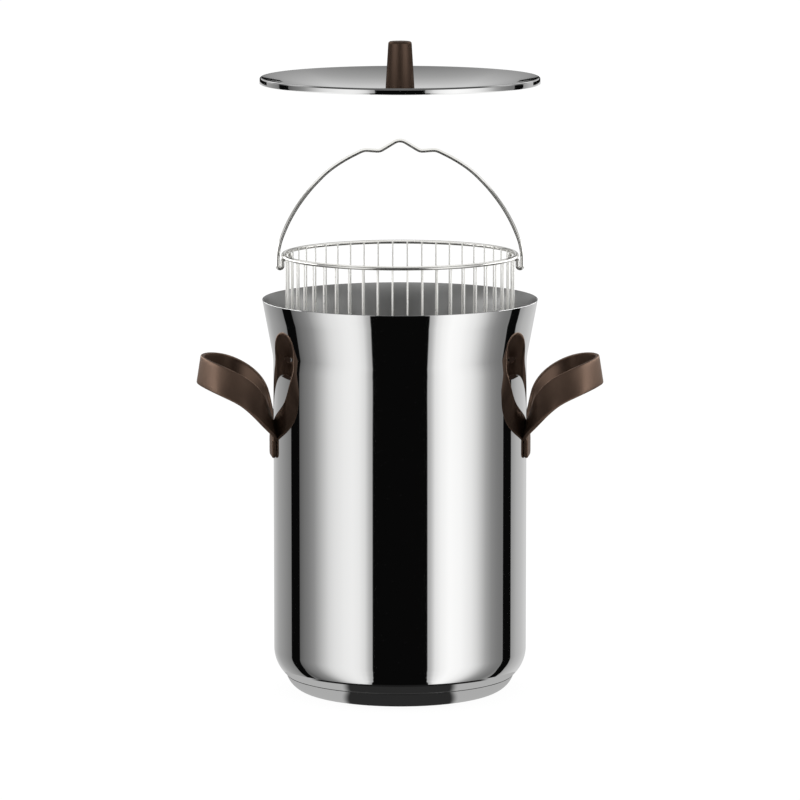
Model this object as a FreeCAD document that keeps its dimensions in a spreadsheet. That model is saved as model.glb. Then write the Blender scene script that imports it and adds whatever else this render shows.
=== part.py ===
import FreeCAD, Part
import math
import os

# Tall steamer pot: a mirror-polished cooking pot with a flared mouth and a
# capsule base, two ribbon loop handles, a dished lid with a tapered knob and a
# wire basket with a swinging bail.
#
# Frame: millimetres, +Z up.  The origin is the centre of the underside of the
# base.  The handles point along +X and -X and the bail swings about X.
# The lid and the basket are loose pieces held above and half out of the pot.

os.makedirs("parts", exist_ok=True)
doc = FreeCAD.newDocument("steamer_pot")
V = FreeCAD.Vector

# ---------------------------------------------------------------- dimensions
SIZES = [
    # pot
    ("pot_height", 250.0),          # rim above the resting plane
    ("wall_radius", 80.0),          # outside of the straight wall
    ("sheet_gauge", 0.9),           # steel sheet of the pot
    ("corner_radius", 22.5),        # outer radius between wall and floor
    ("base_thickness", 5.2),        # underside of the floor above the ground
    ("rim_radius", 86.9),           # outside of the flared mouth
    ("flare_angle", 10.6),          # lean of the flared band, degrees
    ("flare_bend_radius", 45.0),    # bend between wall and flared band
    ("rim_round", 0.28),            # softened rim edges
    # capsule base
    ("base_flat_radius", 58.0),     # flat ring that touches the stove
    ("base_edge_radius", 72.2),     # widest point of the capsule
    ("base_edge_height", 10.4),     # top of the capsule's outer face
    ("base_seam_radius", 71.6),     # where the capsule meets the pot corner
    # ribbon handles
    ("ribbon_width", 17.6),
    ("ribbon_gauge", 2.4),
    ("ribbon_corner", 0.7),         # rounding of the ribbon's long edges
    ("tab_foot", 150.8),            # lower end of the welded tabs
    ("tab_centre_radius", 81.0),    # mid plane of the tabs from the axis
    # lid
    ("lid_radius", 88.0),
    ("lid_gauge", 0.8),
    ("lid_depth", 8.9),             # underside of the flat centre to the top of the edge
    ("lid_edge_round", 1.2),        # bend between the dish and the turned-down edge
    ("lid_edge_angle", 12.04),      # slope where dish and bend meet, degrees
    ("lid_skirt", 4.2),             # height of the turned-down edge
    ("lid_flat_radius", 10.0),      # flat seat of the knob
    ("lid_hole_radius", 2.4),
    ("lid_raise", 381.2),           # underside of the lid's flat centre
    # knob and screw
    ("knob_height", 30.4),
    ("knob_foot_radius", 9.15),
    ("knob_top_radius", 7.3),
    ("knob_top_round", 1.5),
    ("knob_foot_round", 0.4),
    ("bore_radius", 2.0),
    ("bore_depth", 12.5),
    ("screw_head_radius", 4.8),
    ("screw_head_height", 1.2),
    ("screw_head_round", 0.6),
    ("screw_length", 12.0),         # shank below the head
    ("socket_side", 1.5),           # side of the six-sided drive socket
    ("socket_depth", 1.4),
    # wire basket
    ("ring_radius", 73.5),          # wire centre of the top ring
    ("ring_wire_radius", 1.3),
    ("ring_level", 277.8),          # wire centre of the top ring, raised
    ("basket_depth", 152.0),        # top ring centre to the basket's underside
    ("upright_wire_radius", 0.5),
    ("upright_count", 48.0),
    ("hoop_wire_radius", 0.9),
    ("hoop_drop", 78.0),            # mid hoop below the top ring
    ("foot_wire_radius", 1.2),      # bottom ring
    ("floor_wire_radius", 0.9),
    ("floor_pitch", 8.0),
    ("cross_wire_radius", 1.2),
    ("cross_offset", 30.0),
    ("weld_bite", 0.05),            # how far welded wires sink into each other
    # bail
    ("bail_wire_radius", 1.25),
    ("bail_pivot_drop", 2.85),      # pivot axis below the top ring centre
]

sheet = doc.addObject("Spreadsheet::Sheet", "Sheet")
for row, (alias, value) in enumerate(SIZES, start=1):
    sheet.set("A%d" % row, alias)
    sheet.set("B%d" % row, str(value))
    sheet.setAlias("B%d" % row, alias)
doc.recompute()


class Q:
    """A length that knows both its value and its expression on the sheet."""

    def __init__(self, value, text):
        self.v = float(value)
        self.t = text

    @staticmethod
    def of(other):
        return other if isinstance(other, Q) else Q(other, repr(float(other)))

    def __add__(self, other):
        other = Q.of(other)
        return Q(self.v + other.v, "(%s + %s)" % (self.t, other.t))

    def __radd__(self, other):
        return Q.of(other) + self

    def __sub__(self, other):
        other = Q.of(other)
        return Q(self.v - other.v, "(%s - %s)" % (self.t, other.t))

    def __rsub__(self, other):
        return Q.of(other) - self

    def __mul__(self, other):
        other = Q.of(other)
        return Q(self.v * other.v, "(%s * %s)" % (self.t, other.t))

    def __rmul__(self, other):
        return Q.of(other) * self

    def __truediv__(self, other):
        other = Q.of(other)
        return Q(self.v / other.v, "(%s / %s)" % (self.t, other.t))

    def root(self):
        return Q(math.sqrt(self.v), "sqrt(%s)" % self.t)

    def sine(self):
        return Q(math.sin(math.radians(self.v)), "sin(%s * 1 deg)" % self.t)

    def cosine(self):
        return Q(math.cos(math.radians(self.v)), "cos(%s * 1 deg)" % self.t)

    def tangent(self):
        return Q(math.tan(math.radians(self.v)), "tan(%s * 1 deg)" % self.t)


def q(alias):
    return Q(sheet.get(alias), "Sheet." + alias)


def n(alias):
    return float(sheet.get(alias))


ZERO = Q(0.0, "0")
NODES = []


def origin_plane(body, role):
    for feature in body.Origin.OriginFeatures:
        if feature.Role == role:
            return feature
    raise RuntimeError("no plane " + role)


def profile_sketch(body, name, corners, bends):
    """Closed profile in the X-Z plane.

    corners: list of (radius, height) as Q.  bends: {i: (radius, turn)} makes
    the side from corner i to corner i+1 an arc; turn +1 runs anticlockwise.
    """
    sk = body.newObject("Sketcher::SketchObject", name)
    sk.AttachmentSupport = [(origin_plane(body, "XZ_Plane"), "")]
    sk.MapMode = "FlatFace"
    count = len(corners)
    ends = []
    for i in range(count):
        a = V(corners[i][0].v, corners[i][1].v, 0)
        b = V(corners[(i + 1) % count][0].v, corners[(i + 1) % count][1].v, 0)
        if i not in bends:
            geo = sk.addGeometry(Part.LineSegment(a, b), False)
            ends.append((geo, 1, 2))
            continue
        radius, turn = bends[i]
        chord = b.sub(a)
        half = chord.Length / 2.0
        rise = math.sqrt(max(radius.v ** 2 - half ** 2, 0.0))
        side = V(-chord.y, chord.x, 0)
        side.normalize()
        centre = a.add(chord.multiply(0.5)).add(side.multiply(rise * turn))
        a_angle = math.atan2(a.y - centre.y, a.x - centre.x)
        b_angle = math.atan2(b.y - centre.y, b.x - centre.x)
        circle = Part.Circle(centre, V(0, 0, 1), radius.v)
        if turn > 0:
            geo = sk.addGeometry(Part.ArcOfCircle(circle, a_angle, b_angle), False)
            ends.append((geo, 1, 2))
        else:
            geo = sk.addGeometry(Part.ArcOfCircle(circle, b_angle, a_angle), False)
            ends.append((geo, 2, 1))
    import Sketcher
    for i in range(count):
        g, _, tail = ends[i]
        h, head, _ = ends[(i + 1) % count]
        sk.addConstraint(Sketcher.Constraint("Coincident", g, tail, h, head))
    for i, (x, z) in enumerate(corners):
        g, head, _ = ends[i]
        for word, value, axis in (("DistanceX", x, -2), ("DistanceY", z, -1)):
            if value.t == "0":
                sk.addConstraint(Sketcher.Constraint("PointOnObject", g, head, axis))
                continue
            k = sk.addConstraint(Sketcher.Constraint(word, -1, 1, g, head, value.v))
            label = "%s_%d" % ("reach" if word == "DistanceX" else "level", i)
            sk.renameConstraint(k, label)
            sk.setExpression("Constraints." + label, value.t)
    for i, (radius, turn) in bends.items():
        k = sk.addConstraint(Sketcher.Constraint("Radius", ends[i][0], radius.v))
        label = "bend_%d" % i
        sk.renameConstraint(k, label)
        sk.setExpression("Constraints." + label, radius.t)
    return sk


def turned(name, corners, bends, level=None):
    """A turned piece: the closed profile revolved about Z in its own body."""
    body = doc.addObject("PartDesign::Body", name)
    body.Label = name
    sk = profile_sketch(body, name + "_profile", corners, bends)
    rev = body.newObject("PartDesign::Revolution", name + "_turning")
    rev.Profile = sk
    rev.ReferenceAxis = (sk, ["V_Axis"])
    rev.Angle = 360.0
    if level is not None:
        body.setExpression("Placement.Base.z", level.t)
    doc.recompute()
    NODES.append(body)
    return body, rev


def soften(body, feature, name, test, radius):
    """Fillet the edges of a feature that pass the test."""
    edges = ["Edge%d" % (i + 1) for i, e in enumerate(feature.Shape.Edges) if test(e)]
    if not edges:
        raise RuntimeError("no edge for " + name)
    fillet = body.newObject("PartDesign::Fillet", name)
    fillet.Base = (feature, edges)
    fillet.Radius = radius.v
    fillet.setExpression("Radius", radius.t)
    body.Tip = fillet
    doc.recompute()
    return fillet


def ring_edge(e, radius, z, tol=0.02):
    c = e.Curve
    return (isinstance(c, Part.Circle) and abs(c.Radius - radius) < tol
            and abs(c.Center.z - z) < tol)


# ------------------------------------------------------------------ pot body
# One drawn shell: flat floor, rounded corner, straight wall, then a bend into
# the flared band and a rim cut level.
R = q("wall_radius")
G = q("sheet_gauge")
RC = q("corner_radius")
BT = q("base_thickness")
H = q("pot_height")
RR = q("rim_radius")
FA = q("flare_angle")
FB = q("flare_bend_radius")

kink = H - (RR - R) / FA.tangent()             # where wall and flare would meet
bend_low = kink - FB * (FA / 2.0).tangent()    # start of the bend on the wall
bend_out = R + FB - FB * FA.cosine()           # end of the bend, outside
bend_up = bend_low + FB * FA.sine()
FBI = FB + G                                   # same bend on the inside
bend_out_in = R + FB - FBI * FA.cosine()
bend_up_in = bend_low + FBI * FA.sine()

pot_corners = [
    (ZERO, BT),
    (R - RC, BT),
    (R, BT + RC),
    (R, bend_low),
    (bend_out, bend_up),
    (RR, H),
    (RR - G / FA.cosine(), H),
    (bend_out_in, bend_up_in),
    (R - G, bend_low),
    (R - G, BT + RC),
    (R - RC, BT + G),
    (ZERO, BT + G),
]
pot_bends = {
    1: (RC, 1),
    3: (FB, -1),
    7: (FBI, 1),
    9: (RC - G, -1),
}
pot_body, pot_turning = turned("pot_body", pot_corners, pot_bends)
soften(pot_body, pot_turning, "pot_rim_round",
       lambda e: ring_edge(e, RR.v, H.v) or ring_edge(e, pot_corners[6][0].v, H.v),
       q("rim_round"))

# ---------------------------------------------------------------- base disc
# Capsule base: flat underneath, its edge turned up round the pot's corner.
BF = q("base_flat_radius")
BE = q("base_edge_radius")
BH = q("base_edge_height")
BS = q("base_seam_radius")
seam_z = BT + RC - (RC * RC - (BS - R + RC) * (BS - R + RC)).root()
edge_bend = ((BE - BF) * (BE - BF) + BH * BH) / (2.0 * BH)
base_corners = [
    (ZERO, ZERO),
    (BF, ZERO),
    (BE, BH),
    (BS, seam_z),
    (R - RC, BT),
    (ZERO, BT),
]
base_bends = {1: (edge_bend, 1), 3: (RC, -1)}
base_disc, _ = turned("base_disc", base_corners, base_bends)

# ----------------------------------------------------------------------- lid
# Local zero of the lid group: underside of the flat centre.
RL = q("lid_radius")
LG = q("lid_gauge")
LD = q("lid_depth")
LE = q("lid_edge_round")
LA = q("lid_edge_angle")
LF = q("lid_flat_radius")
LH = q("lid_hole_radius")
LS = q("lid_skirt")
edge_x = RL - LE - LE * LA.sine()
edge_z = LD - LE + LE * LA.cosine()
edge_xi = RL - LE - (LE - LG) * LA.sine()
edge_zi = LD - LE + (LE - LG) * LA.cosine()
rise = edge_z - LG
dish = ((edge_x - LF) * (edge_x - LF) + rise * rise) / (2.0 * rise)
dish_i = ((edge_xi - LF) * (edge_xi - LF) + edge_zi * edge_zi) / (2.0 * edge_zi)
lid_corners = [
    (LH, ZERO),
    (LF, ZERO),
    (edge_xi, edge_zi),
    (RL - LG, LD - LE),
    (RL - LG, LD - LS),
    (RL, LD - LS),
    (RL, LD - LE),
    (edge_x, edge_z),
    (LF, LG),
    (LH, LG),
]
lid_bends = {1: (dish_i, 1), 2: (LE - LG, -1), 6: (LE, 1), 7: (dish, -1)}
LIFT = q("lid_raise")
lid_dish, lid_turning = turned("lid_dish", lid_corners, lid_bends, LIFT)
soften(lid_dish, lid_turning, "lid_edge_soft",
       lambda e: ring_edge(e, RL.v, (LD - LS).v) or ring_edge(e, (RL - LG).v, (LD - LS).v),
       q("rim_round"))

# ---------------------------------------------------------------------- knob
KH = q("knob_height")
KF = q("knob_foot_radius")
KT = q("knob_top_radius")
KB = q("bore_radius")
KD = q("bore_depth")
knob_corners = [
    (KB, ZERO),
    (KF, ZERO),
    (KT, KH),
    (ZERO, KH),
    (ZERO, KD),
    (KB, KD),
]
lid_knob, knob_turning = turned("lid_knob", knob_corners, {}, LIFT + LG)
knob_top = soften(lid_knob, knob_turning, "knob_top_soft",
                  lambda e: ring_edge(e, KT.v, KH.v), q("knob_top_round"))
soften(lid_knob, knob_top, "knob_foot_soft",
       lambda e: ring_edge(e, KF.v, 0.0), q("knob_foot_round"))

# --------------------------------------------------------------------- screw
SR = q("screw_head_radius")
SH = q("screw_head_height")
SL = q("screw_length")
screw_corners = [
    (ZERO, ZERO),
    (SR, ZERO),
    (SR, SH),
    (KB, SH),
    (KB, SH + SL),
    (ZERO, SH + SL),
]
knob_screw, screw_turning = turned("knob_screw", screw_corners, {}, LIFT - SH)
screw_edge = soften(knob_screw, screw_turning, "screw_head_soft",
                    lambda e: ring_edge(e, SR.v, 0.0), q("screw_head_round"))
socket = knob_screw.newObject("Sketcher::SketchObject", "socket_outline")
socket.AttachmentSupport = [(origin_plane(knob_screw, "XY_Plane"), "")]
socket.MapMode = "FlatFace"
side = n("socket_side")
hexagon = [V(side * math.cos(math.radians(60 * i)), side * math.sin(math.radians(60 * i)), 0)
           for i in range(6)]
import Sketcher
for i in range(6):
    socket.addGeometry(Part.LineSegment(hexagon[i], hexagon[(i + 1) % 6]), False)
for i in range(6):
    socket.addConstraint(Sketcher.Constraint("Coincident", i, 2, (i + 1) % 6, 1))
for i in range(1, 6):
    socket.addConstraint(Sketcher.Constraint("Equal", 0, i))
rim_circle = socket.addGeometry(Part.Circle(V(0, 0, 0), V(0, 0, 1), side), True)
socket.addConstraint(Sketcher.Constraint("Coincident", rim_circle, 3, -1, 1))
for i in range(6):
    socket.addConstraint(Sketcher.Constraint("PointOnObject", i, 1, rim_circle))
socket.addConstraint(Sketcher.Constraint("PointOnObject", 0, 1, -1))
k = socket.addConstraint(Sketcher.Constraint("Radius", rim_circle, side))
socket.renameConstraint(k, "socket_reach")
socket.setExpression("Constraints.socket_reach", "Sheet.socket_side")
solid_before = knob_screw.Shape.Volume
pocket = knob_screw.newObject("PartDesign::Pocket", "drive_socket")
pocket.Profile = socket
pocket.Type = 0
pocket.Reversed = True
pocket.setExpression("Length", "Sheet.socket_depth")
knob_screw.Tip = pocket
doc.recompute()
socket_volume = solid_before - knob_screw.Shape.Volume
if not 5.0 < socket_volume < 15.0:
    raise RuntimeError("drive socket is not cut: %.3f" % socket_volume)

# ------------------------------------------------------------------- handles
# Each handle is one ribbon.  Its two ends lie side by side on the wall as
# welded tabs; from there the ribbon climbs, turns away from the wall and closes
# in a wide upright loop.  The table gives, for the half on the -Y side, the
# ribbon's upper edge and lower edge; the other half mirrors it.
RIBBON = [
    # upper edge x, y, z         lower edge x, y, z
    ((81.00, -2.6, 168.7), (78.90, -20.6, 164.7)),
    ((80.95, -7.8, 172.8), (79.40, -24.8, 168.2)),
    ((81.20, -14.3, 176.4), (81.20, -29.9, 171.3)),
    ((82.20, -20.6, 181.0), (84.60, -35.1, 174.9)),
    ((84.20, -25.2, 186.6), (88.60, -38.1, 178.6)),
    ((87.20, -27.4, 192.9), (93.20, -38.9, 182.6)),
    ((91.60, -28.8, 199.1), (98.40, -38.2, 186.4)),
    ((97.40, -30.3, 203.8), (104.00, -37.1, 189.6)),
    ((104.20, -30.6, 207.5), (109.80, -34.9, 192.1)),
    ((111.00, -28.3, 210.4), (115.40, -30.6, 194.1)),
    ((117.00, -22.9, 212.3), (120.60, -23.8, 195.6)),
    ((121.40, -15.5, 213.3), (124.40, -15.8, 196.5)),
    ((123.90, -7.8, 213.8), (126.70, -8.0, 196.8)),
    ((124.70, 0.0, 214.0), (127.40, 0.0, 196.9)),
]
RW = n("ribbon_width")
RT = n("ribbon_gauge")
RK = n("ribbon_corner")
TF = n("tab_foot")
TC = n("tab_centre_radius")


def ribbon_stations():
    """(centre, width direction, width, thickness) along the half ribbon."""
    lean = math.asin(10.0 / TC)
    out = V(math.cos(lean), -math.sin(lean), 0)      # away from the pot axis
    along = V(math.sin(lean), math.cos(lean), 0)     # towards the upper edge
    foot = [
        # rounded foot of the tab, then the flat tab
        (0.00, RW - 5.0, RT - 1.5), (0.35, RW - 2.8, RT - 0.7),
        (1.10, RW - 1.1, RT - 0.2), (2.40, RW - 0.2, RT), (5.00, RW, RT),
        (8.50, RW, RT), (11.50, RW, RT),
    ]
    rows = []
    for dz, width, gauge in foot:
        rows.append((V(out).multiply(TC).add(V(0, 0, TF + dz)), V(along), width, gauge))
    for top, low in RIBBON:
        a, b = V(*top), V(*low)
        w = a.sub(b)
        w.normalize()
        rows.append((a.add(b).multiply(0.5), w, RW, RT))
    return rows


def smooth(values):
    curve = Part.BSplineCurve()
    curve.interpolate(values)
    return curve


def ribbon_section(centre, width_dir, travel, width, gauge):
    """Rounded rectangle across the ribbon."""
    t = V(travel)
    t.normalize()
    w = V(width_dir).sub(V(t).multiply(width_dir.dot(t)))
    w.normalize()
    m = w.cross(t)
    m.normalize()
    k = min(RK, gauge * 0.42)
    hw, hg = width / 2.0, gauge / 2.0
    c = math.sqrt(0.5)

    def at(u, v):
        return V(centre).add(V(w).multiply(u)).add(V(m).multiply(v))

    edges = []
    ring = [
        (at(hw - k, hg), at(-hw + k, hg), None),
        (at(-hw + k, hg), at(-hw, hg - k), at(-hw + k - k * c, hg - k + k * c)),
        (at(-hw, hg - k), at(-hw, -hg + k), None),
        (at(-hw, -hg + k), at(-hw + k, -hg), at(-hw + k - k * c, -hg + k - k * c)),
        (at(-hw + k, -hg), at(hw - k, -hg), None),
        (at(hw - k, -hg), at(hw, -hg + k), at(hw - k + k * c, -hg + k - k * c)),
        (at(hw, -hg + k), at(hw, hg - k), None),
        (at(hw, hg - k), at(hw - k, hg), at(hw - k + k * c, hg - k + k * c)),
    ]
    for a, b, mid in ring:
        if mid is None:
            edges.append(Part.LineSegment(a, b).toShape())
        else:
            edges.append(Part.Arc(a, mid, b).toShape())
    return Part.Wire(edges)


half = ribbon_stations()
rows = half + [(V(c.x, -c.y, c.z), V(w.x, -w.y, w.z), width, gauge)
               for c, w, width, gauge in reversed(half[:-1])]
centres = smooth([r[0] for r in rows])
knots = centres.getKnots()
sections = []
for i, (c, w, width, gauge) in enumerate(rows):
    travel = centres.tangent(knots[i])[0]
    if i < 6:
        travel = V(0, 0, 1)
    if i > len(rows) - 7:
        travel = V(0, 0, -1)
    if i == len(half) - 1:
        travel = V(0, 1, 0)
    sections.append(ribbon_section(c, w, travel, width, gauge))
ribbon = Part.makeLoft(sections, True, False)
blank = doc.addObject("Part::Feature", "ribbon_blank")
blank.Shape = ribbon
wall = doc.addObject("Part::Cylinder", "wall_envelope")
wall.setExpression("Radius", "Sheet.wall_radius")
wall.setExpression("Height", "Sheet.ribbon_width * 4")
wall.setExpression("Placement.Base.z", "Sheet.tab_foot - 5")
handle_right = doc.addObject("Part::Cut", "handle_right")
handle_right.Base = blank
handle_right.Tool = wall
handle_right.Label = "handle_right"
handle_left = doc.addObject("Part::Mirroring", "handle_left")
handle_left.Source = handle_right
handle_left.Normal = V(1, 0, 0)
handle_left.Base = V(0, 0, 0)
handle_left.Label = "handle_left"
doc.recompute()
NODES += [handle_right, handle_left]


# -------------------------------------------------------------------- basket
def hoop(name, radius, wire, level):
    ring = doc.addObject("Part::Torus", name)
    ring.Label = name
    ring.setExpression("Radius1", radius.t)
    ring.setExpression("Radius2", wire.t)
    ring.setExpression("Placement.Base.z", level.t)
    NODES.append(ring)
    return ring


BR = q("ring_radius")
BW = q("ring_wire_radius")
BL = q("ring_level")
UW = q("upright_wire_radius")
HW = q("hoop_wire_radius")
FW = q("foot_wire_radius")
NW = q("floor_wire_radius")
CW = q("cross_wire_radius")
BITE = q("weld_bite")
BD = q("basket_depth")

upright_line = BR - BW - UW + BITE              # circle of upright centres
foot_line = upright_line - UW - FW + BITE       # bottom ring, inside them
foot_level = BL - BD + FW
hoop_line = upright_line + UW + HW - BITE       # mid hoop, outside them
basket_top_ring = hoop("basket_top_ring", BR, BW, BL)
basket_mid_hoop = hoop("basket_mid_hoop", hoop_line, HW, BL - q("hoop_drop"))
basket_bottom_ring = hoop("basket_bottom_ring", foot_line, FW, foot_level)

# Uprights: straight wires, welded to the inside of the top ring and the
# outside of the bottom ring, half a pitch off the bail's plane.
count = int(n("upright_count"))
top = BL.v + 0.3
low = foot_level.v - 0.5
wires = []
for i in range(count):
    angle = math.radians((i + 0.5) * 360.0 / count)
    foot = V(upright_line.v * math.cos(angle), upright_line.v * math.sin(angle), low)
    wires.append(Part.makeCylinder(UW.v, top - low, foot, V(0, 0, 1)))
basket_uprights = doc.addObject("Part::Feature", "basket_uprights")
basket_uprights.Label = "basket_uprights"
basket_uprights.Shape = Part.makeCompound(wires)
NODES.append(basket_uprights)

# Floor: parallel rods on the bottom ring, two cross rods under them.
pitch = n("floor_pitch")
rod_level = foot_level.v + FW.v + NW.v - BITE.v
reach = foot_line.v + 0.55
rods = []
steps = int(reach / pitch)
for i in range(-steps, steps + 1):
    y = i * pitch
    half_rod = math.sqrt(max((reach) ** 2 - (abs(y) + NW.v) ** 2, 0.0))
    if half_rod < 12.0:
        continue
    rods.append(Part.makeCylinder(NW.v, 2 * half_rod, V(-half_rod, y, rod_level), V(1, 0, 0)))
basket_floor_rods = doc.addObject("Part::Feature", "basket_floor_rods")
basket_floor_rods.Label = "basket_floor_rods"
basket_floor_rods.Shape = Part.makeCompound(rods)
NODES.append(basket_floor_rods)

cross_level = rod_level - NW.v - CW.v + BITE.v
crosses = []
for x in (-n("cross_offset"), n("cross_offset")):
    run = math.sqrt((foot_line.v - FW.v + BITE.v) ** 2 - (abs(x) + CW.v) ** 2)
    crosses.append(Part.makeCylinder(CW.v, 2 * run, V(x, -run, cross_level), V(0, 1, 0)))
basket_cross_rods = doc.addObject("Part::Feature", "basket_cross_rods")
basket_cross_rods.Label = "basket_cross_rods"
basket_cross_rods.Shape = Part.makeCompound(crosses)
NODES.append(basket_cross_rods)

# ---------------------------------------------------------------------- bail
# Upright bail in the X-Z plane: an arch with a hanging notch at its crown, and
# at each foot a J-shaped hook whose end runs inwards on the pivot axis, under
# the top ring and between two uprights, and is turned up inside the basket.
# (half width, height above the top ring centre, bend radius or None)
ARCH = [
    (0.0, 73.3, 6.5),
    (-12.7, 65.6, 6.0),
    (-22.7, 66.4, 9.0),
    (-34.7, 60.4, None),
    (-45.3, 53.2, None),
    (-56.0, 42.3, None),
    (-64.4, 31.2, None),
    (-70.6, 20.4, None),
    (-75.3, 9.0, None),
    (-77.0, 1.0, None),
    (-77.1, -8.6, 1.5),
    (-74.05, -8.6, 1.5),
    (-74.05, -2.85, 1.4),
    (-69.2, -2.85, 1.4),
    (-69.2, 1.2, None),
]


def rounded_path(points):
    """Straight runs joined by tangent arcs; points are (Vector, radius)."""
    pieces = []
    here = points[0][0]
    for i in range(1, len(points) - 1):
        p, radius = points[i]
        before = points[i - 1][0].sub(p)
        after = points[i + 1][0].sub(p)
        run = min(before.Length, after.Length)
        before.normalize()
        after.normalize()
        turn = math.pi - before.getAngle(after)
        if turn < 1e-4:
            continue
        limit = 0.48 * run / math.tan(turn / 2.0)
        r = limit if radius is None else min(radius, limit)
        cut = r * math.tan(turn / 2.0)
        a = p.add(V(before).multiply(cut))
        b = p.add(V(after).multiply(cut))
        bisector = before.add(after)
        bisector.normalize()
        centre = p.add(V(bisector).multiply(r / math.cos(turn / 2.0)))
        mid = centre.sub(V(bisector).multiply(r))
        if a.sub(here).Length > 1e-6:
            pieces.append(Part.LineSegment(here, a).toShape())
        pieces.append(Part.Arc(a, mid, b).toShape())
        here = b
    pieces.append(Part.LineSegment(here, points[-1][0]).toShape())
    return Part.Wire(pieces)


def bail_points():
    drop = n("bail_pivot_drop")
    left = []
    for x, z, radius in ARCH:
        if z == -2.85:
            z = -drop
        left.append((V(x, 0, BL.v + z), radius))
    right = [(V(-p.x, 0, p.z), radius) for p, radius in left[1:]]
    return list(reversed(right)) + left


bail_path = rounded_path(bail_points())
start = bail_path.Vertexes[0].Point
direction = bail_points()[1][0].sub(bail_points()[0][0])
section = Part.Wire([Part.Circle(start, direction, n("bail_wire_radius")).toShape()])
bail_solid = bail_path.makePipeShell([section], True, True)
basket_bail = doc.addObject("Part::Feature", "basket_bail")
basket_bail.Label = "basket_bail"
basket_bail.Shape = bail_solid
NODES.append(basket_bail)
expected = math.pi * n("bail_wire_radius") ** 2 * bail_path.Length
print("bail volume %.1f of %.1f" % (bail_solid.Volume, expected))

# ----------------------------------------------------------- checks and files
doc.recompute()
for obj in doc.Objects:
    if "Invalid" in obj.State or "Error" in obj.State:
        raise RuntimeError("%s failed: %s" % (obj.Name, obj.State))
for node in NODES:
    shape = node.Shape
    if shape.isNull() or not shape.isValid() or not shape.Solids:
        raise RuntimeError("%s has no valid solid" % node.Label)
for node in NODES:
    shape = node.Shape
    shape.exportStep("parts/%s.step" % node.Label)
    box = shape.BoundBox
    print("%-20s solids %2d volume %10.1f  x %.1f..%.1f  y %.1f..%.1f  z %.1f..%.1f" % (
        node.Label, len(shape.Solids), shape.Volume,
        box.XMin, box.XMax, box.YMin, box.YMax, box.ZMin, box.ZMax))
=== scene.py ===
import math

import bmesh
import bpy
import numpy as np
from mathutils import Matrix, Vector


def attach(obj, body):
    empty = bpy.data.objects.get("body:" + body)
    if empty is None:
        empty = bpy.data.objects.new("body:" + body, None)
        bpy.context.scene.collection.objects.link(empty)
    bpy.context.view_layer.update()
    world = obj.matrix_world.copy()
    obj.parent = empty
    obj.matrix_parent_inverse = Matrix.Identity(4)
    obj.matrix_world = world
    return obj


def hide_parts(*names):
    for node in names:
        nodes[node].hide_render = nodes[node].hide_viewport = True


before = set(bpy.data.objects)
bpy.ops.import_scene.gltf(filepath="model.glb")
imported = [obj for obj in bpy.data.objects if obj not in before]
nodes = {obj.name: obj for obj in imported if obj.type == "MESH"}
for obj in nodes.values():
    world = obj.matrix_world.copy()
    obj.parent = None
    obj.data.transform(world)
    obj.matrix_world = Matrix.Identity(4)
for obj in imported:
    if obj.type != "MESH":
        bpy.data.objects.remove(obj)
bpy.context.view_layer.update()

MM = 0.001

# ------------------------------------------------------------------ settings
scene = bpy.context.scene
scene.view_settings.view_transform = "Standard"
scene.view_settings.look = "None"
scene.view_settings.exposure = 0.0
scene.view_settings.gamma = 1.0


def lin(v):
    """Display grey 0..255 to linear light."""
    c = v / 255.0
    return c / 12.92 if c <= 0.04045 else ((c + 0.055) / 1.055) ** 2.4


# ------------------------------------------------------------------ geometry
def add_mesh(name, verts, faces, material, smooth_angle=35.0):
    mesh = bpy.data.meshes.new(name)
    mesh.from_pydata([tuple(v) for v in verts], [], faces)
    mesh.validate()
    bm = bmesh.new()
    bm.from_mesh(mesh)
    bmesh.ops.recalc_face_normals(bm, faces=bm.faces)
    bm.to_mesh(mesh)
    bm.free()
    mesh.polygons.foreach_set("use_smooth", [True] * len(mesh.polygons))
    if smooth_angle is not None:
        mesh.set_sharp_from_angle(angle=math.radians(smooth_angle))
    mesh.materials.append(material)
    mesh.update()
    obj = bpy.data.objects.new(name, mesh)
    scene.collection.objects.link(obj)
    return obj


def arc(cx, cz, r, a0, a1, n):
    """Points of an arc in the radius-height plane, angles in degrees."""
    return [(cx + r * math.cos(math.radians(a0 + (a1 - a0) * i / n)),
             cz + r * math.sin(math.radians(a0 + (a1 - a0) * i / n))) for i in range(n + 1)]


def spread(points, step):
    """Adds points on the long straight sides of a profile."""
    out = [points[0]]
    for a, b in zip(points, points[1:]):
        gap = math.hypot(b[0] - a[0], b[1] - a[1])
        k = max(1, int(round(gap / step)))
        out += [(a[0] + (b[0] - a[0]) * i / k, a[1] + (b[1] - a[1]) * i / k) for i in range(1, k + 1)]
    return out


def lathe(name, profile, material, segments=256, closed=True, angle=35.0):
    """Turns a profile (radius, height in mm) about Z.  A closed profile whose
    points all have a radius above zero makes a ring; an open one runs from the
    axis to the axis."""
    verts, faces = [], []
    rings = []
    for r, z in profile:
        if r < 1e-6:
            verts.append((0.0, 0.0, z * MM))
            rings.append([len(verts) - 1])
            continue
        first = len(verts)
        for i in range(segments):
            a = 2 * math.pi * i / segments
            verts.append((r * MM * math.cos(a), r * MM * math.sin(a), z * MM))
        rings.append(list(range(first, first + segments)))
    pairs = list(zip(rings, rings[1:]))
    if closed:
        pairs.append((rings[-1], rings[0]))
    for a, b in pairs:
        for i in range(segments):
            j = (i + 1) % segments
            if len(a) == 1 and len(b) == 1:
                break
            if len(a) == 1:
                faces.append((a[0], b[i], b[j]))
            elif len(b) == 1:
                faces.append((a[i], a[j], b[0]))
            else:
                faces.append((a[i], a[j], b[j], b[i]))
    return add_mesh(name, verts, faces, material, angle)


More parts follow.
